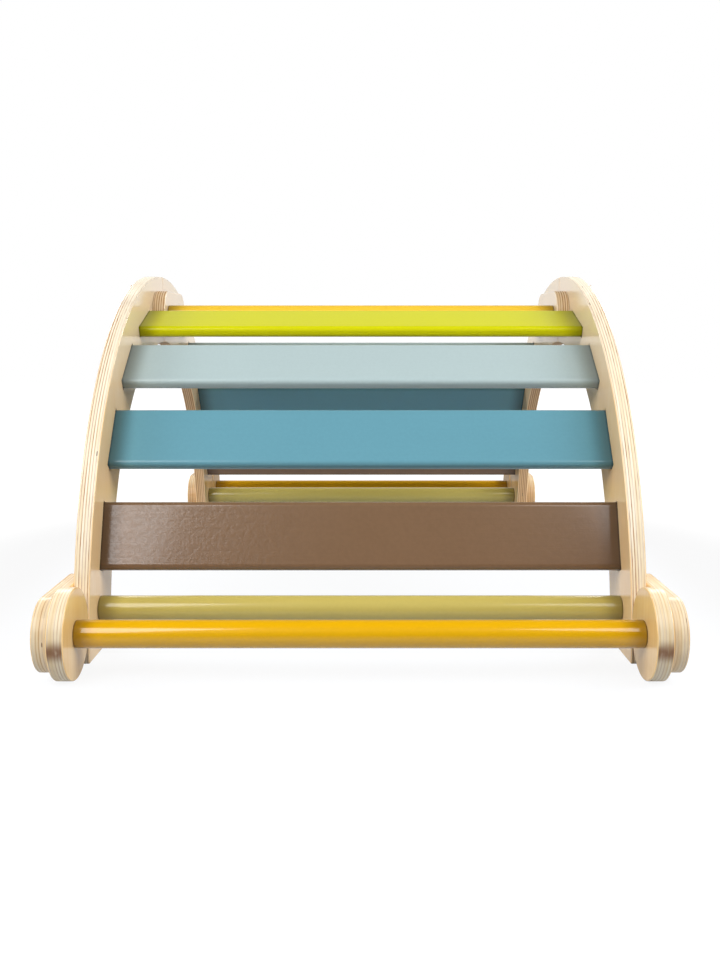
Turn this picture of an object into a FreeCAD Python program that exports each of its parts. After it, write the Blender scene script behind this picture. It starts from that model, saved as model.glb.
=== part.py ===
"""Climbing arch for children: four half-arch plywood panels, eight slats and six dowel rungs.

The panels butt on a seam at the top and are tied there by plates inside and outside.
At the floor each leg carries a link, a round foot disc and an end of the foot dowel.
The frame is +Z up, X across the arch, Y along it, with the origin on the floor at the centre.
"""
import FreeCAD
import Part
import Sketcher

import math
import os
from enum import IntEnum, auto

# Driving sizes in millimetres, and degrees for angles.
SIZES = {
    # side panels
    "inner_width": 600.0,
    "board": 18.0,
    "edge_round": 1.5,
    "arc_radius": 420.0,
    "strip_width": 98.0,
    "arc_drop": 20.0,
    "seam_gap": 0.8,
    "corner_round": 3.0,
    # slats and their mortises
    "slat_width": 80.0,
    "slat_thick": 15.0,
    "slat_round": 6.0,
    "slat_first": 20.85,
    "slat_clear": 10.6,
    "mortise_depth": 8.0,
    "mortise_gap": 0.5,
    "mortise_corner": 1.0,
    # round rungs
    "dowel_dia": 30.0,
    "top_dowel_dia": 25.0,
    "dowel_round": 1.5,
    # feet
    "disc_dia": 98.0,
    "disc_gap": 2.0,
    "link_pitch": 100.0,
    "link_width": 80.0,
    # top joint
    "top_drop": 56.0,
    "inner_plate_width": 66.0,
    "outer_plate_width": 84.0,
    # connector bolts and threaded inserts
    "bolt_dia": 8.0,
    "bolt_gap": 0.5,
    "bolt_reach": 18.0,
    "head_dia": 15.0,
    "head_height": 2.5,
    "head_round": 1.5,
    "socket_width": 5.0,
    "socket_depth": 3.5,
    "insert_dia": 12.0,
    "insert_length": 20.0,
    "thread_gap": 0.1,
    # slat screws
    "screw_dia": 4.5,
    "screw_head": 9.0,
    "screw_length": 45.0,
    "screw_tip": 5.0,
    "screw_spread": 40.0,
    "screw_gap": 0.2,
    "screw_socket": 3.0,
    "screw_socket_depth": 1.8,
}

# Slats of one half, from the leg up to the top joint.
SLAT_COLOURS = ["brown", "teal", "pale_blue", "lime"]

# Sizes that follow from the driving ones.
DERIVED = {
    "half_width": "inner_width / 2",
    "outer_face": "half_width + board",
    "link_face": "half_width + 2 * board",
    "top_dowel_end": "half_width - board",
    "outer_radius": "arc_radius + strip_width / 2",
    "inner_radius": "arc_radius - strip_width / 2",
    "panel_round": "min(edge_round; 0.45 * board; corner_round)",
    "leg_height": "disc_dia / 2",
    "foot_y": "sqrt(outer_radius^2 - (arc_drop + leg_height)^2) + disc_gap + disc_dia / 2",
    "leg_y": "foot_y - link_pitch",
    "top_y": "link_pitch / 2",
    "top_height": "outer_radius - arc_drop - top_drop",
    "slat_inner": "arc_radius - slat_thick / 2",
    "slat_lean": "atan(slat_width / 2 / slat_inner)",
    "slat_edge": "top_y + inner_plate_width / 2 + slat_clear",
    "slat_turn": "acos(slat_edge / sqrt(slat_inner^2 + (slat_width / 2)^2))",
    "slat_last": "(slat_turn - slat_lean) / 1 deg",
    "slat_pitch": "(slat_last - slat_first) / (slat_count - 1)",
    "slat_length": "inner_width + 2 * (mortise_depth - mortise_gap)",
    "slat_corner": "min(slat_round; 0.45 * slat_thick)",
    "mortise_width": "slat_width + 2 * mortise_gap",
    "mortise_thick": "slat_thick + 2 * mortise_gap",
    "bolt_hole": "bolt_dia + bolt_gap",
    "insert_hole": "insert_dia + thread_gap",
    "insert_thread": "bolt_dia + thread_gap",
    "dowel_corner": "min(dowel_round; (min(dowel_dia; top_dowel_dia) - insert_hole) / 4)",
    "head_corner": "min(head_round; 0.9 * head_height)",
    "foot_bolt_length": "2 * board + bolt_reach",
    "top_bolt_length": "3 * board + bolt_reach",
    "screw_hole": "screw_dia + screw_gap",
    "screw_sink": "screw_head + screw_gap",
    "screw_cone": "(screw_head - screw_dia) / 2",
    "screw_pilot": "screw_dia + thread_gap",
    "screw_bite": "screw_length - board + mortise_depth - mortise_gap + thread_gap",
}


class Point(IntEnum):
    """Points of a sketch edge, as the sketcher numbers them."""

    START = auto()
    END = auto()
    CENTRE = auto()


class Axis(IntEnum):
    """A sketch's own axes, as the sketcher numbers them."""

    LEVEL = -1
    UPRIGHT = -2


class Half(IntEnum):
    """Halves of the arch, as the sign of Y."""

    FRONT = -1
    REAR = 1


class Side(IntEnum):
    """Sides of the arch, as the sign of X."""

    LEFT = -1
    RIGHT = 1


Z_AXIS = FreeCAD.Vector(0, 0, 1)
START, END, CENTRE = Point
H_AXIS, V_AXIS = Axis
ORIGIN = (H_AXIS, START)
FRONT, REAR = Half
LEFT, RIGHT = Side
END_NAMES = {end: end.name.lower() for end in Half}
SIDE_NAMES = {side: side.name.lower() for side in Side}
HALF_TURN = 180.0
COUNTERSINK = 90.0
SAME_PLACE = 0.01
ALONG = math.cos(math.radians(HALF_TURN / 20))

doc = FreeCAD.newDocument("climbing_arch")
nodes = []


def make_sheet():
    """Write the driving and the derived sizes to the sheet, one aliased cell each."""
    sheet = doc.addObject("Spreadsheet::Sheet", "Sizes")
    driving = dict(SIZES, slat_count=len(SLAT_COLOURS))
    rows = [(alias, str(value)) for alias, value in driving.items()]
    rows += [(alias, "=" + formula) for alias, formula in DERIVED.items()]
    for row, (alias, content) in enumerate(rows, start=1):
        sheet.set(f"A{row}", alias)
        sheet.set(f"B{row}", content)
        sheet.setAlias(f"B{row}", alias)
    doc.recompute()
    return sheet


sheet = make_sheet()


def number(formula):
    """Present value of a sheet formula."""
    value = sheet.evalExpression(formula)
    return float(getattr(value, "Value", value))


def new_body(label):
    """Empty body for one sub-part."""
    body = doc.addObject("PartDesign::Body", label)
    body.Label = label
    return body


def keep(part):
    """Mark a finished sub-part for writing."""
    nodes.append(part)
    return part


def place(part, x="0", y="0", z="0", turn=0.0):
    """Put a sub-part at a position given by sheet formulas, turned about the upright."""
    part.Placement = FreeCAD.Placement(FreeCAD.Vector(), FreeCAD.Rotation(Z_AXIS, turn))
    part.setExpression("Placement.Base.x", x)
    part.setExpression("Placement.Base.y", y)
    part.setExpression("Placement.Base.z", z)


def own_plane(body, role):
    """Reference to one of the body's own origin planes."""
    plane = next(feature for feature in body.Origin.OriginFeatures if feature.Role == role)
    return plane, [""]


def new_sketch(body, name, role="YZ_Plane", lift="0", up="0", angle="0"):
    """Sketch on one of the body's own planes, shifted and turned there by sheet formulas."""
    sketch = body.newObject("Sketcher::SketchObject", name)
    sketch.AttachmentSupport = own_plane(body, role)
    sketch.MapMode = "FlatFace"
    sketch.AttachmentOffset = FreeCAD.Placement(FreeCAD.Vector(), FreeCAD.Rotation(Z_AXIS, 1))
    sketch.setExpression("AttachmentOffset.Base.y", up)
    sketch.setExpression("AttachmentOffset.Base.z", lift)
    sketch.setExpression("AttachmentOffset.Rotation.Angle", angle)
    return sketch


def line(sketch, start, end):
    """Add a straight edge and return its index."""
    return sketch.addGeometry(Part.LineSegment(FreeCAD.Vector(*start), FreeCAD.Vector(*end)))


def arc(sketch, centre, radius, first, last):
    """Add a round edge between two angles in degrees and return its index."""
    circle = Part.Circle(FreeCAD.Vector(*centre), Z_AXIS, radius)
    return sketch.addGeometry(Part.ArcOfCircle(circle, math.radians(first), math.radians(last)))


def rule(sketch, *what):
    """Add a geometric constraint."""
    sketch.addConstraint(Sketcher.Constraint(*what))


def dimension(sketch, name, formula, *what):
    """Add a dimension bound to a sheet formula."""
    index = sketch.addConstraint(Sketcher.Constraint(*what, number(formula)))
    sketch.renameConstraint(index, name)
    sketch.setExpression(f"Constraints.{name}", formula)


def polygon(sketch, points):
    """Close a loop of straight edges through the points and return the edges' indices."""
    following = points[1:] + points[:1]
    edges = [line(sketch, start, end) for start, end in zip(points, following)]
    for edge, after in zip(edges, edges[1:] + edges[:1]):
        rule(sketch, "Coincident", edge, END, after, START)
    return edges


def circle(sketch, name, diameter, across="0", up="0", down="0"):
    """Circle of a bound diameter, off the sketch's origin by sheet formulas."""
    x, y = number(across), number(up) - number(down)
    shape = Part.Circle(FreeCAD.Vector(x, y, 0), Z_AXIS, number(diameter) / 2)
    index = sketch.addGeometry(shape)
    dimension(sketch, f"{name}_bore", diameter, "Diameter", index)
    if across == "0":
        rule(sketch, "PointOnObject", index, CENTRE, V_AXIS)
    else:
        dimension(sketch, f"{name}_across", across, "DistanceX", *ORIGIN, index, CENTRE)
    if up != "0":
        dimension(sketch, f"{name}_up", up, "DistanceY", *ORIGIN, index, CENTRE)
    elif down != "0":
        dimension(sketch, f"{name}_down", down, "DistanceY", index, CENTRE, *ORIGIN)
    else:
        rule(sketch, "PointOnObject", index, CENTRE, H_AXIS)


def pad(body, sketch, length, reverse=False, symmetric=False):
    """Give a profile its thickness."""
    feature = body.newObject("PartDesign::Pad", "Pad")
    feature.Profile = sketch
    feature.SideType = "Symmetric" if symmetric else "One side"
    feature.Reversed = reverse
    feature.setExpression("Length", length)
    doc.recompute()
    return feature


def pocket(body, sketch, depth, reverse=False):
    """Cut a profile into the body, away from the sketch's normal unless reversed."""
    before = body.Tip.Shape.Volume
    feature = body.newObject("PartDesign::Pocket", "Pocket")
    feature.Profile = sketch
    feature.Reversed = reverse
    feature.setExpression("Length", depth)
    doc.recompute()
    if not feature.Shape.Volume < before:
        raise RuntimeError(f"{body.Label}: {sketch.Name} cuts nothing")
    return feature


def revolve(body, sketch):
    """Turn a half profile once round the sketch's horizontal axis."""
    feature = body.newObject("PartDesign::Revolution", "Revolution")
    feature.Profile = sketch
    feature.ReferenceAxis = (sketch, ["H_Axis"])
    feature.Angle = 2 * HALF_TURN
    doc.recompute()
    return feature


def fillet(body, names, radius):
    """Round the named edges, or all edges of the named faces, of the body's last feature."""
    base = body.Tip
    feature = body.newObject("PartDesign::Fillet", "Fillet")
    feature.Base = (base, names)
    feature.setExpression("Radius", radius)
    doc.recompute()
    return feature


def side_faces(body):
    """Names of the flat faces that look along the body's X."""
    names = []
    for index, face in enumerate(body.Tip.Shape.Faces, start=1):
        if isinstance(face.Surface, Part.Plane) and abs(face.Surface.Axis.x) > ALONG:
            names.append(f"Face{index}")
    return names


def corner_edges(body):
    """Names of the straight edges that run along the body's X."""
    names = []
    for index, edge in enumerate(body.Tip.Shape.Edges, start=1):
        if isinstance(edge.Curve, Part.Line) and abs(edge.Curve.Direction.x) > ALONG:
            names.append(f"Edge{index}")
    return names


def both_ends(body, feature):
    """Repeat a cut made in the +X end of a rung in its other end."""
    mirror = body.newObject("PartDesign::Mirrored", "BothEnds")
    mirror.Originals = [feature]
    mirror.MirrorPlane = own_plane(body, "YZ_Plane")
    body.Tip = mirror
    doc.recompute()


def slat_angle(step):
    """Sheet formula of a slat's angle above the floor, counted from the leg."""
    return f"(Sizes.slat_first + {step} * Sizes.slat_pitch)"


def rounded_rectangle(sketch, centre, width, height, corner):
    """Rectangle with round corners, centred on the sketch's horizontal axis."""
    middle, wide, tall, r = number(centre), number(width) / 2, number(height) / 2, number(corner)
    left, right = middle - wide, middle + wide
    bottom = line(sketch, (left + r, -tall), (right - r, -tall))
    lower_right = arc(sketch, (right - r, r - tall), r, 270, 360)
    front = line(sketch, (right, r - tall), (right, tall - r))
    upper_right = arc(sketch, (right - r, tall - r), r, 0, 90)
    top = line(sketch, (right - r, tall), (left + r, tall))
    upper_left = arc(sketch, (left + r, tall - r), r, 90, 180)
    back = line(sketch, (left, tall - r), (left, r - tall))
    lower_left = arc(sketch, (left + r, r - tall), r, 180, 270)
    loop = [bottom, lower_right, front, upper_right, top, upper_left, back, lower_left]
    for edge, after in zip(loop, loop[1:] + loop[:1]):
        rule(sketch, "Tangent", edge, END, after, START)
    for level in (bottom, top):
        rule(sketch, "Horizontal", level)
    for upright in (front, back):
        rule(sketch, "Vertical", upright)
    for other in (upper_right, upper_left, lower_left):
        rule(sketch, "Equal", lower_right, other)
    dimension(sketch, "corner", corner, "Radius", lower_right)
    dimension(sketch, "width", width, "DistanceX", back, START, front, START)
    dimension(sketch, "height", height, "DistanceY", bottom, START, top, START)
    dimension(sketch, "reach", f"{centre} - {width} / 2", "DistanceX", *ORIGIN, back, START)
    dimension(sketch, "below", f"{height} / 2", "DistanceY", bottom, START, *ORIGIN)


def obround(sketch, width, pitch):
    """Plate outline with round ends about two holes, the first at the sketch's origin."""
    r, along = number(width) / 2, number(pitch)
    near = arc(sketch, (0, 0), r, 90, 270)
    under = line(sketch, (0, -r), (along, -r))
    far = arc(sketch, (along, 0), r, 270, 450)
    over = line(sketch, (along, r), (0, r))
    loop = [near, under, far, over]
    for edge, after in zip(loop, loop[1:] + loop[:1]):
        rule(sketch, "Tangent", edge, END, after, START)
    rule(sketch, "Coincident", near, CENTRE, *ORIGIN)
    rule(sketch, "PointOnObject", far, CENTRE, H_AXIS)
    rule(sketch, "Equal", near, far)
    dimension(sketch, "round", f"{width} / 2", "Radius", near)
    dimension(sketch, "pitch", pitch, "DistanceX", near, CENTRE, far, CENTRE)


def half_arch(sketch):
    """Outline of a half arch: two arcs about a centre below the floor, a flat sole and the seam."""
    drop, gap = number("Sizes.arc_drop"), number("Sizes.seam_gap") / 2
    outer, inner = number("Sizes.outer_radius"), number("Sizes.inner_radius")
    sole_turn = [math.degrees(math.asin(drop / radius)) for radius in (outer, inner)]
    seam_turn = [math.degrees(math.acos(gap / radius)) for radius in (outer, inner)]
    outside = arc(sketch, (0, -drop), outer, sole_turn[0], seam_turn[0])
    inside = arc(sketch, (0, -drop), inner, sole_turn[1], seam_turn[1])
    crown, soffit = (math.sqrt(radius ** 2 - gap ** 2) - drop for radius in (outer, inner))
    toe, heel = (math.sqrt(radius ** 2 - drop ** 2) for radius in (outer, inner))
    seam = line(sketch, (gap, crown), (gap, soffit))
    sole = line(sketch, (heel, 0), (toe, 0))
    rule(sketch, "Coincident", outside, END, seam, START)
    rule(sketch, "Coincident", inside, END, seam, END)
    rule(sketch, "Coincident", inside, START, sole, START)
    rule(sketch, "Coincident", outside, START, sole, END)
    rule(sketch, "Coincident", outside, CENTRE, inside, CENTRE)
    rule(sketch, "PointOnObject", outside, CENTRE, V_AXIS)
    rule(sketch, "Vertical", seam)
    rule(sketch, "Horizontal", sole)
    rule(sketch, "PointOnObject", sole, START, H_AXIS)
    dimension(sketch, "drop", "Sizes.arc_drop", "DistanceY", outside, CENTRE, *ORIGIN)
    dimension(sketch, "gap", "Sizes.seam_gap / 2", "DistanceX", *ORIGIN, seam, START)
    dimension(sketch, "outer", "Sizes.outer_radius", "Radius", outside)
    dimension(sketch, "inner", "Sizes.inner_radius", "Radius", inside)


def screw_pair(sketch, diameter):
    """Two circles across a slat's width, at the slat's place on the arc."""
    circle(sketch, "upper", diameter, across="Sizes.arc_radius", up="Sizes.screw_spread / 2")
    circle(sketch, "lower", diameter, across="Sizes.arc_radius", down="Sizes.screw_spread / 2")


def up_the_arc(body, feature, sketch):
    """Repeat the cut for the lowest slat at every slat of the half arch."""
    pattern = body.newObject("PartDesign::PolarPattern", "UpTheArc")
    pattern.Originals = [feature]
    pattern.Axis = (sketch, ["N_Axis"])
    pattern.setExpression("Angle", "Sizes.slat_last - Sizes.slat_first")
    pattern.Occurrences = len(SLAT_COLOURS)
    body.Tip = pattern
    doc.recompute()


def countersunk_holes(body, sketch, reverse):
    """Screw holes through the panel, sunk for the screw heads at the sketch's plane."""
    doc.recompute()
    hole = body.newObject("PartDesign::Hole", "ScrewHole")
    hole.Profile = sketch
    hole.Reversed = reverse
    doc.recompute()
    hole.Threaded = False
    hole.ThreadType = "None"
    hole.DepthType = "ThroughAll"
    hole.HoleCutType = "Countersink"
    hole.HoleCutCustomValues = True
    hole.HoleCutCountersinkAngle = COUNTERSINK
    hole.setExpression("Diameter", "Sizes.screw_hole")
    hole.setExpression("HoleCutDiameter", "Sizes.screw_sink")
    doc.recompute()
    return hole


def make_panel(side, end):
    """Half-arch panel: mortises inside, countersunk screw holes outside, a bolt hole at each end.

    It is drawn as a rear half on its inner face; a front half is turned about the upright.
    """
    body = new_body(f"{SIDE_NAMES[side]}_{END_NAMES[end]}_panel")
    against = side * end < 0
    outline = new_sketch(body, "Outline")
    half_arch(outline)
    pad(body, outline, "Sizes.board", reverse=against)
    fillet(body, corner_edges(body), "Sizes.corner_round")
    fillet(body, side_faces(body), "Sizes.panel_round")

    mortise = new_sketch(body, "Mortise", up="-Sizes.arc_drop", angle=slat_angle(0))
    rounded_rectangle(mortise, "Sizes.arc_radius", "Sizes.mortise_thick", "Sizes.mortise_width",
                      "Sizes.mortise_corner")
    cut = pocket(body, mortise, "Sizes.mortise_depth", reverse=not against)
    up_the_arc(body, cut, mortise)

    outer_side = "-Sizes.board" if against else "Sizes.board"
    screws = new_sketch(body, "Screws", lift=outer_side, up="-Sizes.arc_drop", angle=slat_angle(0))
    screw_pair(screws, "Sizes.screw_hole")
    up_the_arc(body, countersunk_holes(body, screws, reverse=against), screws)

    bolts = new_sketch(body, "Bolts")
    circle(bolts, "top", "Sizes.bolt_hole", across="Sizes.top_y", up="Sizes.top_height")
    circle(bolts, "leg", "Sizes.bolt_hole", across="Sizes.leg_y", up="Sizes.leg_height")
    pocket(body, bolts, "Sizes.board", reverse=not against)
    place(body, x=f"{side} * Sizes.half_width", turn=HALF_TURN if end == FRONT else 0.0)
    return keep(body)


def make_slat(end, step, colour):
    """Slat with round edges, let into the panels' mortises, drilled for two screws at each end."""
    body = new_body(f"{END_NAMES[end]}_slat_{colour}")
    lean = slat_angle(step) if end == REAR else f"{HALF_TURN} - {slat_angle(step)}"
    section = new_sketch(body, "Section", up="-Sizes.arc_drop", angle=lean)
    rounded_rectangle(section, "Sizes.arc_radius", "Sizes.slat_thick", "Sizes.slat_width",
                      "Sizes.slat_corner")
    pad(body, section, "Sizes.slat_length", symmetric=True)
    pilots = new_sketch(body, "Pilots", lift="Sizes.slat_length / 2", up="-Sizes.arc_drop", angle=lean)
    screw_pair(pilots, "Sizes.screw_pilot")
    both_ends(body, pocket(body, pilots, "Sizes.screw_bite"))
    return keep(body)


def make_dowel(label, end, diameter, half_length, y, z):
    """Round rung with eased ends and a bore in each for a threaded insert."""
    body = new_body(f"{END_NAMES[end]}_{label}")
    section = new_sketch(body, "Section")
    circle(section, "dowel", diameter)
    pad(body, section, f"2 * {half_length}", symmetric=True)
    fillet(body, side_faces(body), "Sizes.dowel_corner")
    bore = new_sketch(body, "Bore", lift=half_length)
    circle(bore, "insert", "Sizes.insert_hole")
    both_ends(body, pocket(body, bore, "Sizes.insert_length"))
    place(body, y=f"{end} * {y}", z=z)
    return keep(body)


def make_plate(label, width, x, y, z):
    """Plate with round ends and two bolt holes; its first hole and inner face stand at the place given."""
    body = new_body(label)
    outline = new_sketch(body, "Outline")
    obround(outline, width, "Sizes.link_pitch")
    pad(body, outline, "Sizes.board")
    fillet(body, side_faces(body), "Sizes.panel_round")
    holes = new_sketch(body, "Holes")
    circle(holes, "near", "Sizes.bolt_hole")
    circle(holes, "far", "Sizes.bolt_hole", across="Sizes.link_pitch")
    pocket(body, holes, "Sizes.board", reverse=True)
    place(body, x=x, y=y, z=z)
    return keep(body)


def make_foot_disc(side, end):
    """Round foot in the plane of the panel, standing on the floor, bored for the foot bolt."""
    body = new_body(f"{SIDE_NAMES[side]}_{END_NAMES[end]}_foot_disc")
    outline = new_sketch(body, "Outline")
    circle(outline, "disc", "Sizes.disc_dia")
    pad(body, outline, "Sizes.board")
    fillet(body, side_faces(body), "Sizes.panel_round")
    hole = new_sketch(body, "Hole")
    circle(hole, "bolt", "Sizes.bolt_hole")
    pocket(body, hole, "Sizes.board", reverse=True)
    inner = "Sizes.half_width" if side == RIGHT else "-Sizes.outer_face"
    place(body, x=inner, y=f"{end} * Sizes.foot_y", z="Sizes.leg_height")
    return keep(body)


def make_bolt(label, length):
    """Connector bolt along X: shank behind the origin, low head with a hexagon socket before it."""
    body = new_body(label)
    profile = new_sketch(body, "Profile", role="XY_Plane")
    shank, head = number("Sizes.bolt_dia") / 2, number("Sizes.head_dia") / 2
    reach, crown = number(length), number("Sizes.head_height")
    points = [(-reach, 0), (-reach, shank), (0, shank), (0, head), (crown, head), (crown, 0)]
    tip, barrel, seat, rim, face, axis = polygon(profile, points)
    for upright in (tip, seat, face):
        rule(profile, "Vertical", upright)
    for level in (barrel, rim):
        rule(profile, "Horizontal", level)
    rule(profile, "PointOnObject", axis, START, H_AXIS)
    rule(profile, "PointOnObject", axis, END, H_AXIS)
    rule(profile, "PointOnObject", seat, START, V_AXIS)
    dimension(profile, "reach", length, "DistanceX", tip, START, *ORIGIN)
    dimension(profile, "shank", "Sizes.bolt_dia / 2", "DistanceY", *ORIGIN, barrel, START)
    dimension(profile, "head", "Sizes.head_dia / 2", "DistanceY", *ORIGIN, rim, START)
    dimension(profile, "crown", "Sizes.head_height", "DistanceX", *ORIGIN, rim, END)
    revolve(body, profile)
    fillet(body, head_rim(body), "Sizes.head_corner")
    socket = new_sketch(body, "Socket", lift="Sizes.head_height")
    hexagon(socket, "Sizes.socket_width")
    pocket(body, socket, "Sizes.socket_depth")
    return body


def head_rim(body):
    """Name of the round edge at the outer end of a bolt's head."""
    crown, radius = number("Sizes.head_height"), number("Sizes.head_dia") / 2
    names = []
    for index, edge in enumerate(body.Tip.Shape.Edges, start=1):
        if not isinstance(edge.Curve, Part.Circle):
            continue
        offset = abs(edge.Curve.Center.x - crown)
        if offset < SAME_PLACE and abs(edge.Curve.Radius - radius) < SAME_PLACE:
            names.append(f"Edge{index}")
    return names


def hexagon(sketch, width):
    """Regular hexagon about the sketch's origin, measured across its flats."""
    radius = number(width) / math.sqrt(3)
    turns = [math.radians(60 * corner) for corner in range(6)]
    edges = polygon(sketch, [(radius * math.cos(turn), radius * math.sin(turn)) for turn in turns])
    ring = sketch.addGeometry(Part.Circle(FreeCAD.Vector(), Z_AXIS, radius), True)
    rule(sketch, "Coincident", ring, CENTRE, *ORIGIN)
    for edge in edges:
        rule(sketch, "PointOnObject", edge, START, ring)
    for edge in edges[1:]:
        rule(sketch, "Equal", edges[0], edge)
    rule(sketch, "PointOnObject", edges[0], START, H_AXIS)
    dimension(sketch, "corners", f"{width} / sqrt(3)", "Radius", ring)


def make_insert():
    """Threaded insert along X, its flush end at the origin and its body behind."""
    body = new_body("insert")
    section = new_sketch(body, "Section")
    circle(section, "outer", "Sizes.insert_dia")
    circle(section, "inner", "Sizes.insert_thread")
    pad(body, section, "Sizes.insert_length", reverse=True)
    return body


def make_screw():
    """Countersunk screw along X with a hexagon socket, its head flush with the origin."""
    body = new_body("slat_screw")
    profile = new_sketch(body, "Profile", role="XY_Plane")
    head, shank = number("Sizes.screw_head") / 2, number("Sizes.screw_dia") / 2
    cone, taper = number("Sizes.screw_cone"), number("Sizes.screw_length - Sizes.screw_tip")
    reach = number("Sizes.screw_length")
    points = [(0, 0), (0, head), (-cone, shank), (-taper, shank), (-reach, 0)]
    face, sink, barrel, point, axis = polygon(profile, points)
    rule(profile, "Vertical", face)
    rule(profile, "Horizontal", barrel)
    rule(profile, "Coincident", face, START, *ORIGIN)
    rule(profile, "PointOnObject", axis, START, H_AXIS)
    dimension(profile, "head", "Sizes.screw_head / 2", "DistanceY", *ORIGIN, face, END)
    dimension(profile, "cone", "Sizes.screw_cone", "DistanceX", sink, END, *ORIGIN)
    dimension(profile, "shank", "Sizes.screw_dia / 2", "DistanceY", *ORIGIN, barrel, START)
    dimension(profile, "taper", "Sizes.screw_length - Sizes.screw_tip", "DistanceX", barrel, END, *ORIGIN)
    dimension(profile, "reach", "Sizes.screw_length", "DistanceX", point, END, *ORIGIN)
    revolve(body, profile)
    socket = new_sketch(body, "Socket")
    hexagon(socket, "Sizes.screw_socket")
    pocket(body, socket, "Sizes.screw_socket_depth")
    return body


def make_group(label, pattern, spots):
    """One node of several copies of a fastener; each spot gives its side of the arch, x, y and z."""
    copies = []
    for count, (side, x, y, z) in enumerate(spots, start=1):
        copy = doc.addObject("App::Link", f"{label}_{count}")
        copy.LinkedObject = pattern
        place(copy, x=f"{side} * ({x})", y=y, z=z, turn=0.0 if side == RIGHT else HALF_TURN)
        copies.append(copy)
    group = doc.addObject("Part::Compound", label)
    group.Label = label
    group.Links = copies
    return keep(group)


def four_corners(x, y, z):
    """The same place on both sides of both halves."""
    return [(side, x, f"{end} * {y}", z) for side in (LEFT, RIGHT) for end in (FRONT, REAR)]


def slat_screw_spots(side, end):
    """Places of the screws that hold one end of the slats of one half."""
    spots = []
    for step in range(len(SLAT_COLOURS)):
        turn = f"({slat_angle(step)} * 1 deg)"
        for sign in (LEFT, RIGHT):
            out = f"Sizes.arc_radius * cos{turn} - {sign} * Sizes.screw_spread / 2 * sin{turn}"
            rise = f"Sizes.arc_radius * sin{turn} + {sign} * Sizes.screw_spread / 2 * cos{turn}"
            spots.append((side, "Sizes.outer_face", f"{end} * ({out})", f"{rise} - Sizes.arc_drop"))
    return spots


def make_fasteners():
    """Bolts and inserts of the legs, feet and top joint, and the slat screws."""
    foot_bolt = make_bolt("foot_bolt", "Sizes.foot_bolt_length")
    top_bolt = make_bolt("top_bolt", "Sizes.top_bolt_length")
    insert = make_insert()
    screw = make_screw()
    rungs = [
        ("leg", foot_bolt, "Sizes.half_width", "Sizes.leg_y", "Sizes.leg_height"),
        ("foot", foot_bolt, "Sizes.half_width", "Sizes.foot_y", "Sizes.leg_height"),
        ("top", top_bolt, "Sizes.top_dowel_end", "Sizes.top_y", "Sizes.top_height"),
    ]
    for name, bolt, rung_end, y, z in rungs:
        make_group(f"{name}_bolts", bolt, four_corners("Sizes.link_face", y, z))
        make_group(f"{name}_inserts", insert, four_corners(rung_end, y, z))
    for side in (LEFT, RIGHT):
        for end in (FRONT, REAR):
            label = f"{SIDE_NAMES[side]}_{END_NAMES[end]}_slat_screws"
            make_group(label, screw, slat_screw_spots(side, end))


def make_arch():
    """Build every sub-part of the arch."""
    for end in (FRONT, REAR):
        for side in (LEFT, RIGHT):
            make_panel(side, end)
            make_foot_disc(side, end)
            link_x = "Sizes.outer_face" if side == RIGHT else "-Sizes.link_face"
            link_y = "Sizes.leg_y" if end == REAR else "-Sizes.foot_y"
            make_plate(f"{SIDE_NAMES[side]}_{END_NAMES[end]}_foot_link", "Sizes.link_width",
                       link_x, link_y, "Sizes.leg_height")
        for step, colour in enumerate(SLAT_COLOURS):
            make_slat(end, step, colour)
        for label, y in (("leg_dowel", "Sizes.leg_y"), ("foot_dowel", "Sizes.foot_y")):
            make_dowel(label, end, "Sizes.dowel_dia", "Sizes.half_width", y, "Sizes.leg_height")
        make_dowel("top_dowel", end, "Sizes.top_dowel_dia", "Sizes.top_dowel_end", "Sizes.top_y",
                   "Sizes.top_height")
    for side in (LEFT, RIGHT):
        inner_x = "Sizes.top_dowel_end" if side == RIGHT else "-Sizes.half_width"
        outer_x = "Sizes.outer_face" if side == RIGHT else "-Sizes.link_face"
        make_plate(f"{SIDE_NAMES[side]}_inner_top_plate", "Sizes.inner_plate_width",
                   inner_x, "-Sizes.top_y", "Sizes.top_height")
        make_plate(f"{SIDE_NAMES[side]}_outer_top_plate", "Sizes.outer_plate_width",
                   outer_x, "-Sizes.top_y", "Sizes.top_height")
    make_fasteners()
    doc.recompute()


def check_document():
    """Stop if any object failed or any sub-part has no valid solid."""
    for item in doc.Objects:
        if "Invalid" in item.State or "Error" in item.State:
            raise RuntimeError(f"{item.Label} failed: {item.State}")
    for node in nodes:
        shape = node.Shape
        if shape.isNull() or not shape.isValid() or not shape.Solids:
            raise RuntimeError(f"{node.Label} has no valid solid")


def write_parts():
    """Write each sub-part to its own file and print the overall size."""
    os.makedirs("parts", exist_ok=True)
    box = FreeCAD.BoundBox()
    for node in nodes:
        node.Shape.exportStep(f"parts/{node.Label}.step")
        box.add(node.Shape.optimalBoundingBox())
    print(f"{len(nodes)} nodes, {box.XLength:.1f} x {box.YLength:.1f} x {box.ZLength:.1f} mm")


make_arch()
check_document()
write_parts()
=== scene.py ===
"""Looks of a climbing arch for small children: lacquered plywood sides, painted slats and rungs.

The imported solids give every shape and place. This script dresses each of them in its finish
and sets a pale studio with the camera in front of the arch.
"""

import logging
import math
from dataclasses import dataclass
from enum import Enum
from typing import Any, Iterable, Mapping, Optional, Sequence, Union

import bmesh
import bpy
from mathutils import Matrix, Vector


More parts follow.
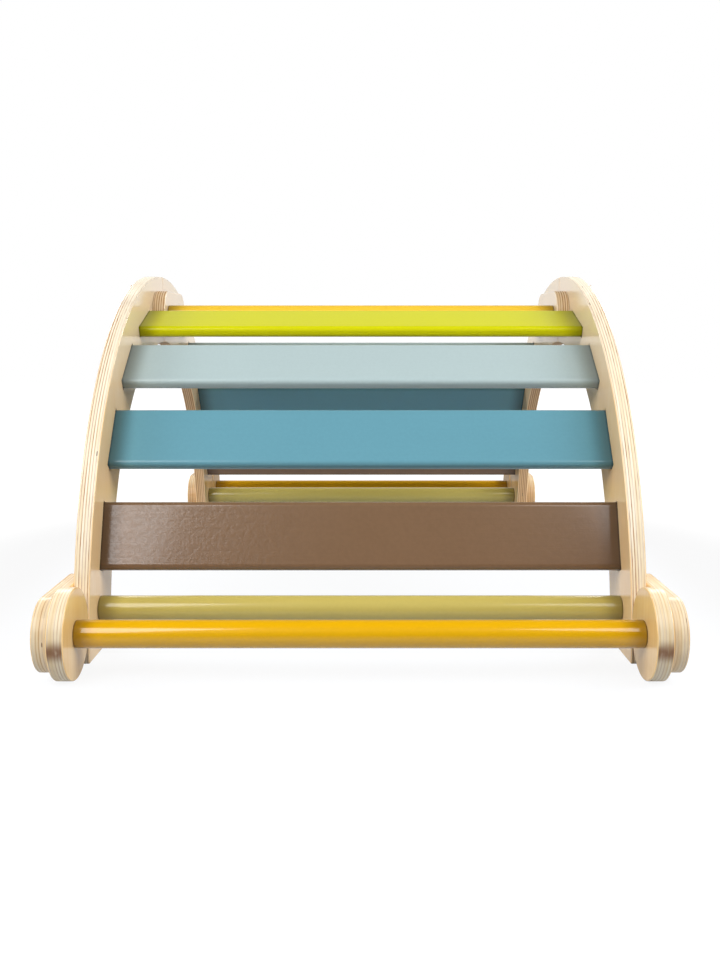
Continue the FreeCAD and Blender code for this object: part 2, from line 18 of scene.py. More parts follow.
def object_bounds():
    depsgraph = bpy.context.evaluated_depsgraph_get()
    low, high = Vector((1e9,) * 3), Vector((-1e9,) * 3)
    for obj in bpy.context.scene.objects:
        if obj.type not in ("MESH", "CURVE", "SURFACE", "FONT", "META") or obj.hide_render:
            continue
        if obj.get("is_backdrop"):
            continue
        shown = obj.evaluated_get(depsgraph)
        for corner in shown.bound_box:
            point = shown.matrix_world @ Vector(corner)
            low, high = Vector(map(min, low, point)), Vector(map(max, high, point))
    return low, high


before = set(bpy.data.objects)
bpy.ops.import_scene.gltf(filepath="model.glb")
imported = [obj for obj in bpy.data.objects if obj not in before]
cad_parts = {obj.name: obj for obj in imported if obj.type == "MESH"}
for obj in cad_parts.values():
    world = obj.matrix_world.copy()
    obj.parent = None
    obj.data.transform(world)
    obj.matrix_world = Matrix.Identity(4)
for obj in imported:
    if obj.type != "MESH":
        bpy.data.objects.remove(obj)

log = logging.getLogger("climbing_arch")

MM = 0.001
NOISE_MIDDLE = 0.5
Colour = tuple[float, float, float]
Limits = tuple[float, float]
Number = Union[float, "Value"]
Spot = tuple["Value", "Value", "Value"]


def srgb(red: int, green: int, blue: int) -> Colour:
    """Scene-linear colour of an 8-bit display colour.

    Args:
        red: Level from 0 to 255.
        green: Level from 0 to 255.
        blue: Level from 0 to 255.

    Returns:
        The colour.
    """
    def linear(level: int) -> float:
        """Scene-linear value of one 8-bit level."""
        share = level / 255
        return share / 12.92 if share <= 0.04045 else ((share + 0.055) / 1.055) ** 2.4
    return linear(red), linear(green), linear(blue)


def shade(colour: Colour, share: float) -> Colour:
    """A colour made lighter or darker by one share."""
    red, green, blue = colour
    return red * share, green * share, blue * share


WHITE: Colour = (1.0, 1.0, 1.0)
GLUE_LINE: Colour = srgb(168, 106, 55)


class Value:
    """A node's output, on which plain arithmetic adds Math nodes."""

    def __init__(self, tree: bpy.types.NodeTree, socket: bpy.types.NodeSocket) -> None:
        """Wrap a socket.

        Args:
            tree: The node tree that owns the socket.
            socket: The output.
        """
        self.tree = tree
        self.socket = socket

    def math(self, operation: str, *terms: Number) -> "Value":
        """Add one Math node.

        Args:
            operation: The node's operation.
            terms: Its inputs in order, as numbers or values.

        Returns:
            The node's result.
        """
        node = self.tree.nodes.new("ShaderNodeMath")
        node.operation = operation
        for socket, term in zip(node.inputs, terms):
            feed(self.tree, socket, term)
        return Value(self.tree, node.outputs[0])

    def __add__(self, other: Number) -> "Value":
        """Sum."""
        return self.math("ADD", self, other)

    def __radd__(self, other: Number) -> "Value":
        """Sum with the number first."""
        return self.math("ADD", other, self)

    def __sub__(self, other: Number) -> "Value":
        """Difference."""
        return self.math("SUBTRACT", self, other)

    def __rsub__(self, other: Number) -> "Value":
        """Difference with the number first."""
        return self.math("SUBTRACT", other, self)

    def __mul__(self, other: Number) -> "Value":
        """Product."""
        return self.math("MULTIPLY", self, other)

    def __rmul__(self, other: Number) -> "Value":
        """Product with the number first."""
        return self.math("MULTIPLY", other, self)

    def __truediv__(self, other: Number) -> "Value":
        """Quotient."""
        return self.math("DIVIDE", self, other)

    def __mod__(self, other: Number) -> "Value":
        """Remainder, never negative."""
        return self.math("FLOORED_MODULO", self, other)

    def __abs__(self) -> "Value":
        """Size without its sign."""
        return self.math("ABSOLUTE", self)

    def sign(self) -> "Value":
        """The sign alone."""
        return self.math("SIGN", self)

    def floor(self) -> "Value":
        """Whole number below."""
        return self.math("FLOOR", self)

    def cos(self) -> "Value":
        """Cosine of the value in radians."""
        return self.math("COSINE", self)

    def root(self) -> "Value":
        """Square root."""
        return self.math("SQRT", self)

    def least(self, other: Number) -> "Value":
        """The smaller of two."""
        return self.math("MINIMUM", self, other)

    def most(self, other: Number) -> "Value":
        """The larger of two."""
        return self.math("MAXIMUM", self, other)


def feed(tree: bpy.types.NodeTree, socket: bpy.types.NodeSocket, item: Any) -> None:
    """Give a socket a constant or a link.

    Args:
        tree: The node tree that owns the socket.
        socket: The input to set.
        item: A number, a colour, or a value to link.
    """
    if isinstance(item, Value):
        tree.links.new(item.socket, socket)
    elif socket.type == "RGBA":
        socket.default_value = (*item, 1.0)
    else:
        socket.default_value = item


def pick(sockets: Iterable[bpy.types.NodeSocket], key: str) -> bpy.types.NodeSocket:
    """Find a socket by its identifier or its name."""
    return next(socket for socket in sockets if key in (socket.identifier, socket.name))


class Nodes:
    """A node tree and the means to add nodes to it."""

    def __init__(self, tree: bpy.types.NodeTree) -> None:
        """Start from an empty tree.

        Args:
            tree: The node tree of a material or a world.
        """
        self.tree = tree
        tree.nodes.clear()

    def add(self, kind: str, settings: Mapping[str, Any], inputs: Mapping[str, Any]) -> bpy.types.Node:
        """Add any node.

        Args:
            kind: The node's type.
            settings: Properties, set before the sockets.
            inputs: Socket names or identifiers with their numbers, colours or values.

        Returns:
            The node.
        """
        node = self.tree.nodes.new(kind)
        for name, setting in settings.items():
            setattr(node, name, setting)
        for name, item in inputs.items():
            feed(self.tree, pick(node.inputs, name), item)
        return node

    def node(self, kind: str, settings: Mapping[str, Any], inputs: Mapping[str, Any],
             result: str = "") -> Value:
        """Add any node and take one of its outputs.

        Args:
            kind: The node's type.
            settings: Properties, set before the sockets.
            inputs: Socket names or identifiers with their numbers, colours or values.
            result: The output wanted, the first if empty.

        Returns:
            That output.
        """
        node = self.add(kind, settings, inputs)
        return Value(self.tree, pick(node.outputs, result) if result else node.outputs[0])

    def place(self) -> Value:
        """The point's place in the object's own frame, in metres."""
        return self.node("ShaderNodeTexCoord", {}, {}, "Object")

    def split(self, vector: Value) -> Spot:
        """The three parts of a vector.

        Args:
            vector: The vector.

        Returns:
            Its X, Y and Z.
        """
        parts = self.add("ShaderNodeSeparateXYZ", {}, {"Vector": vector})
        x, y, z = (Value(self.tree, socket) for socket in parts.outputs)
        return x, y, z

    def join(self, x: Number, y: Number, z: Number) -> Value:
        """A vector of three parts."""
        return self.node("ShaderNodeCombineXYZ", {}, {"X": x, "Y": y, "Z": z})

    def step(self, value: Value, low: float, high: float) -> Value:
        """Smooth step from 0 below one limit to 1 above the other."""
        inputs = {"Value": value, "From Min": low, "From Max": high}
        return self.node("ShaderNodeMapRange", {"interpolation_type": "SMOOTHSTEP"}, inputs)

    def mix(self, share: Number, first: Any, second: Any) -> Value:
        """Mix of two colours.

        Args:
            share: How much of the second.
            first: Colour at 0.
            second: Colour at 1.

        Returns:
            The mixed colour.
        """
        inputs = {"Factor_Float": share, "A_Color": first, "B_Color": second}
        return self.node("ShaderNodeMix", {"data_type": "RGBA"}, inputs, "Result_Color")

    def bump(self, height: Value, depth: float) -> Value:
        """Surface normal of a height from 0 to 1 that stands for a depth in metres."""
        return self.node("ShaderNodeBump", {}, {"Height": height, "Distance": depth})

    def rays(self) -> tuple[Value, Value]:
        """The kind of ray that is followed.

        Returns:
            1 for rays from the camera, and 1 for rays from a mirror or through glass.
        """
        path = self.add("ShaderNodeLightPath", {}, {})
        camera, glossy, clear = (Value(self.tree, path.outputs[f"Is {kind} Ray"])
                                 for kind in ("Camera", "Glossy", "Transmission"))
        return camera, glossy.most(clear)


class Shader(Nodes):
    """One material with a Principled shader."""

    def __init__(self, name: str) -> None:
        """Start the material.

        Args:
            name: The material's name.
        """
        self.material = bpy.data.materials.new(name)
        self.material.use_nodes = True
        super().__init__(self.material.node_tree)
        self.skin = self.add("ShaderNodeBsdfPrincipled", {}, {})
        self.bare = Value(self.tree, self.skin.outputs[0])
        self.output = self.add("ShaderNodeOutputMaterial", {}, {"Surface": self.bare})

    def set(self, **inputs: Any) -> None:
        """Set the Principled shader's sockets, named with underscores for spaces."""
        for name, item in inputs.items():
            feed(self.tree, self.skin.inputs[name.replace("_", " ")], item)

    def cover(self, share: Value, layer: Value) -> None:
        """Lay another shader over the Principled one.

        Args:
            share: How much of it shows.
            layer: The other shader.
        """
        inputs = {"Fac": share, "Shader": self.bare, "Shader_001": layer}
        blend = self.node("ShaderNodeMixShader", {}, inputs)
        feed(self.tree, self.output.inputs["Surface"], blend)


@dataclass(frozen=True)
class Clouds:
    """Noise with its own number of clouds in a metre along each axis."""

    x: float
    y: float
    z: float
    detail: float = 2.0
    rough: float = 0.5

    def read(self, shader: Shader, spot: Spot) -> Value:
        """Read the noise.

        Args:
            shader: The material.
            spot: The place.

        Returns:
            The noise there, from 0 to 1.
        """
        x, y, z = spot
        inputs = {"Vector": shader.join(x * self.x, y * self.y, z * self.z), "Scale": 1.0,
                  "Detail": self.detail, "Roughness": self.rough}
        return shader.node("ShaderNodeTexNoise", {"normalize": True}, inputs, "Fac")


def even_clouds(cells: float, detail: float = 2.0, rough: float = 0.5) -> Clouds:
    """Noise with as many clouds in a metre along each axis."""
    return Clouds(cells, cells, cells, detail, rough)


class Grain(Enum):
    """Way that a board's face grain runs."""

    UPRIGHT = "upright"
    LEVEL = "level"


@dataclass(frozen=True)
class Figure:
    """Noise that is stretched along a board's grain, in clouds to a metre."""

    run: float
    across: float
    detail: float = 2.0
    rough: float = 0.5

    def read(self, shader: Shader, spot: Spot, grain: Grain) -> Value:
        """The noise at a place on a board, from 0 to 1."""
        y, z = (self.across, self.run) if grain is Grain.UPRIGHT else (self.run, self.across)
        return Clouds(self.across, y, z, self.detail, self.rough).read(shader, spot)


@dataclass(frozen=True)
class VeneerFace:
    """Face of a board: faint broad figure, fine streaks, amber stains and short pores.

    It is paler where the board stands high, painted light that stands in for the sheen at the top, and
    may show the line of the joint at the top.
    """

    pale: Colour = srgb(251, 213, 149)
    deep: Colour = srgb(244, 198, 127)
    amber: Colour = srgb(234, 179, 102)
    painted_top_light: Colour = srgb(223, 205, 178)
    line: Colour = GLUE_LINE
    figure: Figure = Figure(4.0, 26.0, 3.0, 0.6)
    streaks: Figure = Figure(9.0, 420.0)
    figure_share: float = 0.65
    figure_limits: Limits = (0.34, 0.66)
    stains: Figure = Figure(5.0, 9.0)
    stain_limits: Limits = (0.48, 0.72)
    stain_share: float = 0.5
    top_light_share: float = 0.85
    pores: Figure = Figure(70.0, 1600.0, 1.0)
    pore_limits: Limits = (0.62, 0.74)
    pore_share: float = 0.16
    joint_share: float = 0.0
    joint_reach: Limits = (0.5 * MM, 1.3 * MM)

    def colour(self, shader: Shader, spot: Spot, grain: Grain, high: Value) -> Value:
        """Colour of the face.

        Args:
            shader: The material.
            spot: The place.
            grain: Way that the grain runs.
            high: How far up in the zone of painted top light the place is, from 0 to 1.

        Returns:
            The colour.
        """
        broad = self.figure.read(shader, spot, grain) * self.figure_share
        fine = self.streaks.read(shader, spot, grain) * (1.0 - self.figure_share)
        colour = shader.mix(shader.step(broad + fine, *self.figure_limits), self.pale, self.deep)
        stain = shader.step(self.stains.read(shader, spot, grain), *self.stain_limits)
        colour = shader.mix(stain * self.stain_share, colour, self.amber)
        # painted light: the face turns paler towards the top
        colour = shader.mix(high * self.top_light_share, colour, self.painted_top_light)
        dark = shader.step(self.pores.read(shader, spot, grain), *self.pore_limits) * self.pore_share
        if self.joint_share:
            joint = 1.0 - shader.step(abs(spot[1]), *self.joint_reach)
            dark = dark.most(joint * self.joint_share)
        return shader.mix(dark, colour, self.line)


@dataclass(frozen=True)
class SawnEdge:
    """Sawn edge of a board: pale and dark layers, saw marks and small voids.

    The lines are stronger and warmer on the hollow side of the arch, where that strength is painted
    shade, and faint at its crest, washed out by painted light.
    They wander by half of wander_reach, in millimetres, to either side.
    """

    contrast: float = 1.0
    lines: float = 0.0
    top_light_strength: float = 1.0
    pale: Colour = srgb(237, 222, 192)
    warm: Colour = srgb(229, 204, 159)
    amber: Colour = srgb(222, 176, 116)
    painted_top_light: Colour = srgb(240, 228, 204)
    deep: Colour = GLUE_LINE
    void: Colour = srgb(104, 66, 40)
    layers: int = 11
    side_hop: float = 64.0
    wander: Clouds = Clouds(60.0, 12.0, 12.0)
    wander_reach: float = 0.8
    dark_limits: Limits = (0.55, 0.95)
    arc_drop: float = 20.0 * MM
    hollow_reach: Limits = (380.0 * MM, 405.0 * MM)
    base_line: float = 0.16
    hollow_line: float = 0.44
    tone: Clouds = Clouds(5.37, 2.4, 2.4, 1.0)
    tone_limits: Limits = (0.36, 0.64)
    tone_line: float = 0.52
    patches: Clouds = Clouds(3.71, 34.0, 34.0, 3.0)
    patch_limits: Limits = (0.42, 0.74)
    patch_line: float = 0.36
    crest: Limits = (390.0 * MM, 450.0 * MM)
    crest_glare_loss: float = 0.8
    warmth: Clouds = Clouds(8.13, 9.0, 9.0)
    warm_limits: Limits = (0.35, 0.68)
    top_light_share: float = 0.7
    amber_share: float = 0.75
    saw_marks: Clouds = Clouds(2600.0, 60.0, 60.0)
    saw_limits: Limits = (0.5, 0.8)
    saw_share: float = 0.16
    knots: Clouds = Clouds(9.1, 46.0, 46.0, 1.0)
    knot_start: float = 4.0
    knot_limits: Limits = (0.735, 0.78)

    def colour(self, shader: Shader, spot: Spot, stack: Value, board: float,
               high: Value) -> tuple[Value, Value]:
        """Colour of the edge and how far a point lies in a dark layer.

        Args:
            shader: The material.
            spot: The place.
            stack: Distance from the innermost board's inner face, in millimetres.
            board: Thickness of a board, in millimetres.
            high: How far up in the zone of painted top light the place is, from 0 to 1.

        Returns:
            The colour, and 1 in the middle of a dark layer.
        """
        x, y, z = spot
        ply = board / self.layers
        bent = stack % board + (self.wander.read(shader, spot) - NOISE_MIDDLE) * self.wander_reach
        wave = 0.5 - ((bent - ply / 2) * (math.pi / ply)).cos() * 0.5
        dark = shader.step(wave, *self.dark_limits)
        layer = (stack / ply).floor() + x.sign() * self.side_hop
        rise = z + self.arc_drop
        # painted shade: the hollow side lies in the arch's shade, so its real layer lines are painted
        # stronger and warmer there; on the plates the same mix, set by lines, is their own darker plies
        hollow = 1.0 - shader.step((y * y + rise * rise).root(), *self.hollow_reach)
        plain = hollow.most(self.lines)
        strength = self.strength(shader, (layer, y, z), plain)
        warm = shader.step(self.warmth.read(shader, (layer, y, z)), *self.warm_limits)
        colour = shader.mix(warm, self.pale, self.warm)
        # painted light: the edge turns paler towards the top
        colour = shader.mix(high * (self.top_light_strength * self.top_light_share), colour, self.painted_top_light)
        colour = shader.mix(plain * self.amber_share, colour, self.amber)
        colour = shader.mix(dark * strength, colour, self.deep)
        saw = shader.step(self.saw_marks.read(shader, spot), *self.saw_limits)
        colour = shader.mix(saw * self.saw_share, colour, self.deep)
        knot = self.knots.read(shader, (layer + self.knot_start / self.knots.x, y, z))
        return shader.mix(shader.step(knot, *self.knot_limits) * dark, colour, self.void), dark

    def strength(self, shader: Shader, spot: Spot, plain: Value) -> Value:
        """Strength of the dark lines.

        Args:
            shader: The material.
            spot: The layer's number, the place along the arch and the height.
            plain: How plainly all the lines show, from 0 to 1.

        Returns:
            The strength, from 0 to 1.
        """
        tone = shader.step(self.tone.read(shader, spot), *self.tone_limits)
        patch = shader.step(self.patches.read(shader, spot), *self.patch_limits)
        strength = (self.base_line + plain * self.hollow_line + tone * self.tone_line
                    + patch * self.patch_line)
        # painted light: the layer lines wash out towards the crest
        lost = shader.step(spot[2], *self.crest) * (self.top_light_strength * self.crest_glare_loss)
        return (strength * self.contrast).least(1.0) * (1.0 - lost)


@dataclass(frozen=True)
class Scorching:
    """Brown marks of the saw on edges: faint blotches, and a smudge low on the feet if wanted."""

    colour: Colour = srgb(118, 66, 24)
    blotches: Clouds = even_clouds(13.0, 3.0)
    blotch_limits: Limits = (0.58, 0.80)
    blotch_share: float = 0.16
    smudge_share: float = 0.0
    smudge_out: float = 562.0 * MM
    smudge_height: float = 44.0 * MM
    smudge_squeeze: float = 0.5
    smudge_reach: Limits = (1.0 * MM, 15.0 * MM)
    smoke: Clouds = Clouds(150.0, 60.0, 60.0, 3.0)
    smoke_limits: Limits = (0.05, 0.50)

    def share(self, shader: Shader, spot: Spot) -> Value:
        """Share of scorching.

        Args:
            shader: The material.
            spot: The place.

        Returns:
            The share there.
        """
        faint = shader.step(self.blotches.read(shader, spot), *self.blotch_limits) * self.blotch_share
        if not self.smudge_share:
            return faint
        _, y, z = spot
        out = (abs(y) - self.smudge_out) * self.smudge_squeeze
        up = z - self.smudge_height
        near = 1.0 - shader.step((out * out + up * up).root(), *self.smudge_reach)
        smoke = shader.step(self.smoke.read(shader, spot), *self.smoke_limits)
        return near * smoke * self.smudge_share + faint


@dataclass(frozen=True)
class PlywoodFinish:
    """Clear-lacquered birch plywood: quiet faces and edges that show the layers.

    Boards lie across X and stack from one inner face outwards, so a point's distance from
    that face tells which layer it is in. The stack's lengths are in millimetres.
    """

    name: str
    grain: Grain
    face: VeneerFace = VeneerFace()
    edge: SawnEdge = SawnEdge()
    scorching: Scorching = Scorching()
    board: float = 18.0
    first_face: float = 282.0
    veneer: Limits = (0.88, 1.43)
    # painted light: the heights between which the paler top is painted
    top_light_reach: Limits = (240.0 * MM, 430.0 * MM)
    fibre: Figure = Figure(30.0, 900.0, 3.0)
    fibre_relief: float = 0.25
    relief: float = 0.05 * MM
    roughness: float = 0.38
    fibre_roughness: float = 0.16
    edge_roughness: float = 0.28
    edge_thirst: float = 0.75
    coat_roughness: float = 0.18
    specular: float = 0.4

    def make(self) -> bpy.types.Material:
        """Build the material.

        Returns:
            The material.
        """
        shader = Shader(f"birch_plywood_{self.name}")
        spot = shader.split(shader.place())
        stack = abs(spot[0]) / MM - self.first_face
        depth = stack % self.board
        inside = shader.step(depth.least(self.board - depth), *self.veneer)
        # painted light: how far up the painted top light has reached
        high = shader.step(spot[2], *self.top_light_reach)
        face = self.face.colour(shader, spot, self.grain, high)
        edge, dark = self.edge.colour(shader, spot, stack, self.board, high)
        colour = shader.mix(inside, face, edge)
        colour = shader.mix(self.scorching.share(shader, spot) * inside, colour, self.scorching.colour)
        fibre = self.fibre.read(shader, spot, self.grain)
        roughness = self.roughness + fibre * self.fibre_roughness + inside * self.edge_roughness
        height = fibre * self.fibre_relief - dark * inside
        shader.set(Base_Color=colour, Roughness=roughness, Coat_Weight=1.0 - inside * self.edge_thirst,
                   Normal=shader.bump(height, self.relief))
        shader.set(Coat_Roughness=self.coat_roughness, Specular_IOR_Level=self.specular)
        return shader.material


@dataclass(frozen=True)
class CoarseSkin:
    """Coarser paint skin with a broken sheen towards -X, which ends over its reach."""

    reach: Limits
    smooth: float = 0.25
    mottle: float = 0.30
    mottle_limits: Limits = (0.40, 0.62)


@dataclass(frozen=True)
class PaintFinish:
    """Satin paint over wood: sprayed skin with a faint grain, darker at the ends by painted shade where
    the sides shade them.
    """

    name: str
    colour: Colour
    skin_depth: float = 0.08 * MM
    peel: Clouds = even_clouds(260.0, 3.0, 0.6)
    roughness: float = 0.30
    tone: float = 0.05
    coat: float = 0.30
    coat_roughness: float = 0.12
    specular: float = 0.40
    end: float = 300.0 * MM
    coarse: Optional[CoarseSkin] = None
    clouds: Clouds = even_clouds(9.0, 3.0)
    cloud_tone: float = 0.4
    cloud_roughness: float = 0.10
    grain: Clouds = Clouds(9.0, 420.0, 420.0, 3.0)
    grain_tone: float = 0.3
    peel_limits: Limits = (0.3, 0.7)
    peel_tone: float = 0.3
    peel_roughness: float = 0.04
    peel_height: float = 0.7
    # painted shade: how dark, how far in and how strong the shade painted at the ends is, and the
    # painted dark line of shade at the side
    end_shade_colour: float = 0.30
    end_shade_reach: float = 30.0 * MM
    end_shade_share: float = 0.72
    end_line_shade_reach: Limits = (2.8 * MM, 0.6 * MM)
    end_line_shade_share: float = 0.25

    def make(self) -> bpy.types.Material:
        """Build the material.

        Returns:
            The material.
        """
        shader = Shader(f"{self.name}_paint")
        spot = shader.split(shader.place())
        cloud = self.clouds.read(shader, spot)
        grain = self.grain.read(shader, spot)
        peel = self.peel.read(shader, spot)
        tone = (cloud * self.cloud_tone + grain * self.grain_tone
                + shader.step(peel, *self.peel_limits) * self.peel_tone)
        colour = shader.mix(tone, shade(self.colour, 1 - self.tone), shade(self.colour, 1 + self.tone))
        # painted shade: the colour darkens towards both ends, where the sides shade it
        shaded_colour = shade(self.colour, self.end_shade_colour)
        colour = shader.mix(self.painted_end_shade(shader, spot[0]), colour, shaded_colour)
        height = peel * self.peel_height + grain * (1.0 - self.peel_height)
        coat: Number = self.coat
        if self.coarse:
            rough = 1.0 - shader.step(spot[0], *self.coarse.reach)
            height = height * (self.coarse.smooth + rough * (1.0 - self.coarse.smooth))
            broken = shader.step(peel, *self.coarse.mottle_limits) * rough
            coat = self.coat * (1.0 - broken * self.coarse.mottle)
        uneven = (cloud - NOISE_MIDDLE) * self.cloud_roughness + peel * self.peel_roughness
        shader.set(Base_Color=colour, Roughness=self.roughness + uneven, Coat_Weight=coat,
                   Normal=shader.bump(height, self.skin_depth))
        shader.set(Coat_Roughness=self.coat_roughness, Specular_IOR_Level=self.specular)
        return shader.material

    def painted_end_shade(self, shader: Shader, x: Value) -> Value:
        """Share of painted shade at the two ends, where the sides shade the rung, with a painted dark
        line of shade right against the side.

        Args:
            shader: The material.
            x: The place along the rung.

        Returns:
            The share there, from 0 to 1.
        """
        out = abs(x)
        start, stop = (self.end - reach for reach in self.end_line_shade_reach)
        return (shader.step(out, self.end - self.end_shade_reach, self.end) * self.end_shade_share
                + shader.step(out, start, stop) * self.end_line_shade_share)


@dataclass(frozen=True)
class MetalFinish:
    """Plated or turned metal with a fine, uneven lustre."""

    name: str
    colour: Colour
    roughness: float
    bloom: Clouds = even_clouds(160.0, 3.0)
    bloom_limits: Limits = (0.35, 0.7)
    bloom_roughness: float = 0.14
    dull: float = 0.82
    scratches: Clouds = even_clouds(1900.0)
    scratch_depth: float = 0.01 * MM

    def make(self) -> bpy.types.Material:
        """Build the material.

        Returns:
            The material.
        """
        shader = Shader(f"{self.name}_metal")
        spot = shader.split(shader.place())
        bloom = self.bloom.read(shader, spot)
        colour = shader.mix(shader.step(bloom, *self.bloom_limits), self.colour,
                            shade(self.colour, self.dull))
        shader.set(Base_Color=colour, Roughness=self.roughness + bloom * self.bloom_roughness,
                   Normal=shader.bump(self.scratches.read(shader, spot), self.scratch_depth))
        shader.set(Metallic=1.0)
        return shader.material


def dress(ending: str, material: bpy.types.Material) -> None:
    """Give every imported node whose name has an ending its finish.

    Args:
        ending: The end of the nodes' names.
        material: The finish.
    """
    for name in sorted(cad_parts):
        if name.endswith(ending):
            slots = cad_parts[name].data.materials
            slots.clear()
            slots.append(material)
            log.info("dressed %s in %s", name, material.name)


@dataclass
class Boards:
    """Plywood panels, foot discs, links and top plates."""

    # painted light: the sides get paler birch colours than the discs, standing in for fill light inside
    # the arch
    panels: PlywoodFinish = PlywoodFinish(
        "sides", Grain.UPRIGHT,
        VeneerFace(pale=srgb(253, 220, 170), deep=srgb(250, 211, 154), amber=srgb(244, 197, 132),
                   joint_share=0.7),
        SawnEdge(contrast=1.04, pale=srgb(246, 236, 214), warm=srgb(237, 218, 180)))
    discs: PlywoodFinish = PlywoodFinish("discs", Grain.UPRIGHT, edge=SawnEdge(contrast=0.52),
                                         scorching=Scorching(smudge_share=0.85))
    links: PlywoodFinish = PlywoodFinish("links", Grain.LEVEL, edge=SawnEdge(contrast=0.66))
    plates: PlywoodFinish = PlywoodFinish("plates", Grain.LEVEL,
                                          edge=SawnEdge(contrast=1.25, lines=0.35, top_light_strength=0.15))

    def dress(self) -> None:
        """Dress the panels and discs with upright grain, the links and plates with level grain."""
        dress("_panel", self.panels.make())
        dress("_foot_disc", self.discs.make())
        dress("_foot_link", self.links.make())
        dress("_top_plate", self.plates.make())


@dataclass
class Rungs:
    """Painted slats and round rungs, each with the end of its nodes' names."""

    paints: tuple[tuple[str, PaintFinish], ...] = (
        ("_slat_brown", PaintFinish("brown", srgb(124, 95, 68), 0.70 * MM, even_clouds(190.0, 3.0, 0.6),
                                    tone=0.09, coat=0.68,
                                    coarse=CoarseSkin((-200.0 * MM, 20.0 * MM)))),
        ("_slat_teal", PaintFinish("teal", srgb(100, 154, 170), coat=0.28, coat_roughness=0.07,
                                   specular=0.30)),
        ("_slat_pale_blue", PaintFinish("pale_blue", srgb(176, 194, 195), coat=0.28, coat_roughness=0.07,
                                        specular=0.30)),
        ("_slat_lime", PaintFinish("lime", srgb(207, 206, 8), coat=0.17, specular=0.10)),
        ("_leg_dowel", PaintFinish("olive", srgb(195, 178, 95), 0.006 * MM, coat=0.70, specular=0.25)),
        ("_foot_dowel", PaintFinish("yellow", srgb(230, 174, 2), 0.006 * MM, coat=1.0,
                                    coat_roughness=0.09, specular=0.22)),
        # painted highlight: the top rungs' yellow is paler than the foot rungs', standing in for light
        # from above
        ("_top_dowel", PaintFinish("top_yellow_painted_highlight", srgb(240, 196, 60), 0.006 * MM, coat=0.60,
                                   coat_roughness=0.10, specular=0.20, end=282.0 * MM)),
    )

    def dress(self) -> None:
        """Dress each kind of rung in its paint."""
        for ending, paint in self.paints:
            dress(ending, paint.make())


@dataclass
class Fasteners:
    """Bolts, inserts and screws."""

    zinc: MetalFinish = MetalFinish("zinc", (0.62, 0.62, 0.60), 0.26)
    bronze: MetalFinish = MetalFinish("bronze", srgb(126, 98, 72), 0.30)
    brass: MetalFinish = MetalFinish("brass", (0.78, 0.60, 0.25), 0.30)

    def dress(self) -> None:
        """Dress the screws in zinc, the bolts in bronze and the inserts in brass."""
        dress("_screws", self.zinc.make())
        dress("_bolts", self.bronze.make())
        dress("_inserts", self.brass.make())


@dataclass(frozen=True)
class SoftBox:
    """A rectangular studio lamp that looks at the arch."""

    name: str
    azimuth: float
    elevation: float
    distance: float
    width: float
    height: float
    power: float
    aim: Vector = Vector((0.0, -0.2, 0.22))

    def make(self) -> None:
        """Hang the lamp; azimuth 0 is in front of the arch and grows towards +X."""
        turn, rise = math.radians(self.azimuth), math.radians(self.elevation)
        level = math.cos(rise)
        away = Vector((math.sin(turn) * level, -math.cos(turn) * level, math.sin(rise)))
        lamp = bpy.data.lights.new(self.name, "AREA")
        lamp.shape = "RECTANGLE"
        lamp.size, lamp.size_y = self.width, self.height
        lamp.energy = self.power
        holder = bpy.data.objects.new(self.name, lamp)
        facing = away.to_track_quat("Z", "Y").to_matrix().to_4x4()
        holder.matrix_world = Matrix.Translation(self.aim + away * self.distance) @ facing
        bpy.context.scene.collection.objects.link(holder)
        log.info("hung %s", self.name)


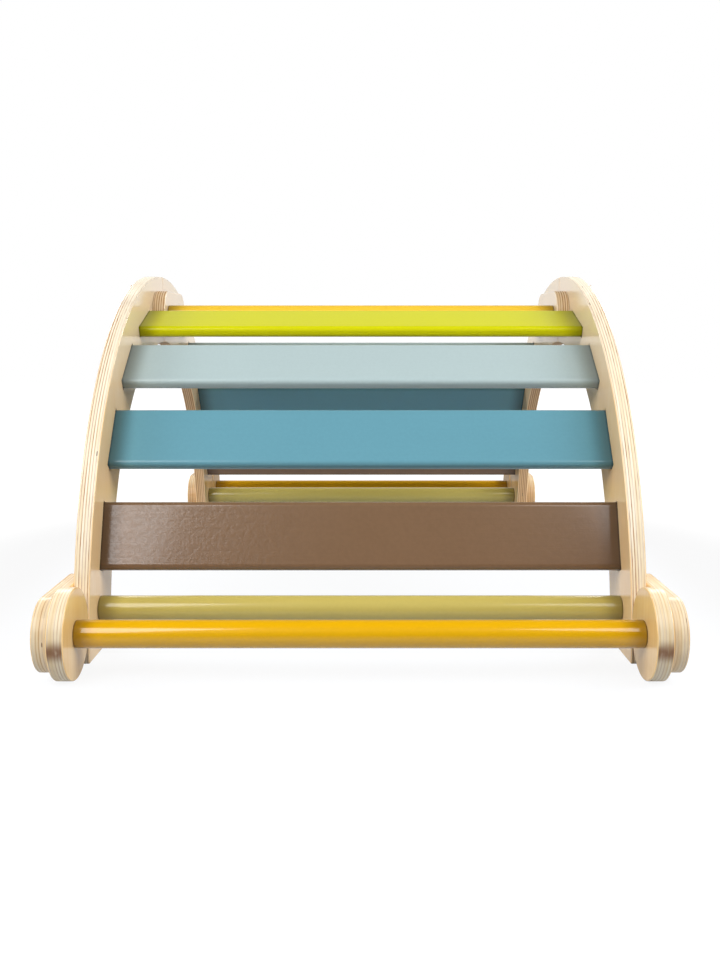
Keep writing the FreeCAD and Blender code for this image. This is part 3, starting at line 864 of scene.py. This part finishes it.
@dataclass
class Studio:
    """Pale floor, white surround, lamps and the camera."""

    lens: float = 37.75
    camera_place: tuple[float, float, float] = (0.0029, -1.5469, 0.3621)
    pitch: float = 7.32
    shift: tuple[float, float] = (-0.00302, -0.01625)
    clip: Limits = (0.05, 50.0)
    floor_size: float = 12.0
    floor_colour: Colour = (0.26, 0.26, 0.27)
    floor_lit: Colour = (0.47, 0.51, 0.59)
    floor_roughness: float = 0.9
    lit_x: Limits = (0.38, 0.52)
    lit_y: Limits = (0.58, 0.76)
    floor_glow: float = 0.80
    glow_strength: float = 1.12
    mirror_glow: float = 0.48
    shadow_reach: Limits = (0.58, 0.92)
    ambient: float = 0.02
    backdrop_start: float = 0.59
    backdrop_slope: float = 2.5
    front_room: float = 0.04
    lamps: tuple[SoftBox, ...] = (
        SoftBox("left_front_softbox", -32.0, 32.0, 2.0, 0.9, 1.2, 20.5),
        SoftBox("left_side_softbox", -76.0, 26.0, 2.0, 0.8, 1.0, 17.5),
        SoftBox("right_front_softbox", 43.0, 36.0, 2.0, 1.4, 0.8, 16.5),
        SoftBox("right_side_softbox", 76.0, 29.0, 2.0, 0.8, 1.3, 22.0),
        SoftBox("left_rear_softbox", -142.0, 30.0, 2.2, 0.8, 0.8, 17.0),
        SoftBox("right_rear_softbox", 142.0, 30.0, 2.2, 0.8, 0.8, 17.0),
    )

    def build(self) -> None:
        """Set up the whole studio."""
        self.floor()
        self.surround()
        for lamp in self.lamps:
            lamp.make()
        self.camera()
        bpy.context.scene.view_settings.view_transform = "Standard"

    def floor(self) -> None:
        """Lay the floor."""
        mesh = bpy.data.meshes.new("floor")
        shape = bmesh.new()
        bmesh.ops.create_grid(shape, x_segments=1, y_segments=1, size=self.floor_size / 2)
        shape.to_mesh(mesh)
        shape.free()
        mesh.materials.append(self.floor_finish())
        floor = bpy.data.objects.new("floor", mesh)
        bpy.context.scene.collection.objects.link(floor)
        floor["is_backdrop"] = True

    def floor_finish(self) -> bpy.types.Material:
        """Floor that looks white to the camera and keeps the arch's shadow, paler by the arch.

        Returns:
            The material.
        """
        shader = Shader("pale_floor")
        x, y, _ = shader.split(shader.place())
        lit = (1.0 - shader.step(abs(x), *self.lit_x)) * (1.0 - shader.step(abs(y), *self.lit_y))
        shader.set(Base_Color=shader.mix(lit, self.floor_colour, self.floor_lit),
                   Roughness=self.floor_roughness, Specular_IOR_Level=0.0)
        camera, mirror = shader.rays()
        seen = camera.most(mirror * lit * self.mirror_glow)
        far = shader.step((x * x + y * y).root(), *self.shadow_reach)
        glow = shader.node("ShaderNodeEmission", {}, {"Strength": self.glow_strength})
        shader.cover(seen * (self.floor_glow + far * (1.0 - self.floor_glow)), glow)
        return shader.material

    def surround(self) -> None:
        """White surround for the camera, a backdrop for mirrors and a faint level light."""
        world = bpy.data.worlds.new("studio")
        world.use_nodes = True
        nodes = Nodes(world.node_tree)
        camera, mirror = nodes.rays()
        _, ahead, _ = nodes.split(nodes.node("ShaderNodeTexCoord", {}, {}, "Generated"))
        behind = (ahead - self.backdrop_start) * self.backdrop_slope
        backdrop = behind.most(self.front_room).least(1.0)
        soft = mirror * (backdrop - self.ambient) + self.ambient
        light = nodes.node("ShaderNodeBackground", {}, {"Color": WHITE, "Strength": camera.most(soft)})
        nodes.add("ShaderNodeOutputWorld", {}, {"Surface": light})
        bpy.context.scene.world = world

    def camera(self) -> None:
        """Camera in front of the arch, a little below its top, looking slightly down."""
        data = bpy.data.cameras.new("camera")
        data.lens = self.lens
        data.shift_x, data.shift_y = self.shift
        data.clip_start, data.clip_end = self.clip
        holder = bpy.data.objects.new("camera", data)
        holder.location = self.camera_place
        holder.rotation_euler = (math.radians(90.0 - self.pitch), 0.0, 0.0)
        bpy.context.scene.collection.objects.link(holder)
        bpy.context.scene.camera = holder


def plain(box: Sequence[Sequence[float]]) -> list[list[float]]:
    """A box's corners as plain lists."""
    return [[float(level) for level in corner] for corner in box]


def main() -> None:
    """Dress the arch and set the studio."""
    logging.basicConfig(level=logging.INFO, format="%(name)s: %(message)s")
    solid_box = plain(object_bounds())
    Boards().dress()
    Rungs().dress()
    Fasteners().dress()
    Studio().build()
    {"cad": solid_box, "visual": plain(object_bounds())}


if __name__ == "__main__":
    main()
